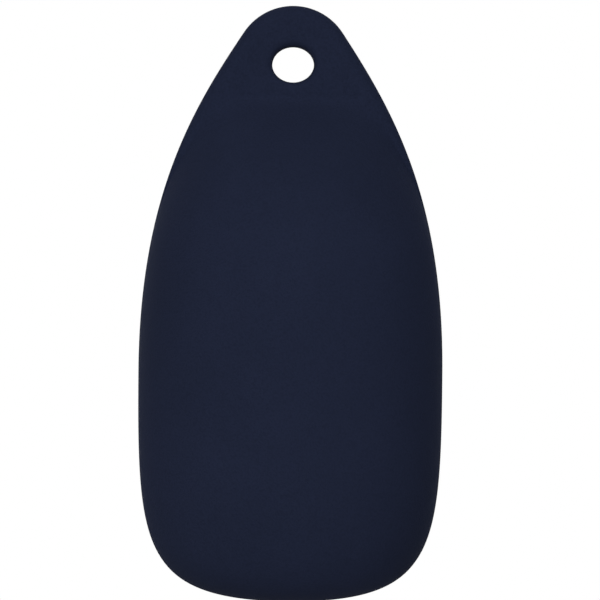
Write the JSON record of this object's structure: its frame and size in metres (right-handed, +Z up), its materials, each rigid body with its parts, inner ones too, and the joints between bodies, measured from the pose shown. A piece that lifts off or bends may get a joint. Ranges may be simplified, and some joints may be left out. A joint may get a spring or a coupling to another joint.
{
  "type": "boat fender",
  "caption": "Drop-shaped inflatable boat fender with a flat tab at the top, an oval hanging eye through the tab and a recessed valve screw in its base.",
  "frame": {"origin": "centre of the hanging eye, halfway through the tab", "axes": "+Z up, from the base to the top of the tab as the fender hangs; Y runs through the hanging eye and the front faces -Y; X across the tab"},
  "size_m": [0.23, 0.23, 0.4498],
  "materials": {
    "navy_vinyl": "matte, finely grained moulded vinyl",
    "black_nylon": "satin moulded nylon"
  },
  "bodies": {
    "root": {"fender_body": "navy_vinyl", "valve_screw": "black_nylon"}
  },
  "joints": []
}
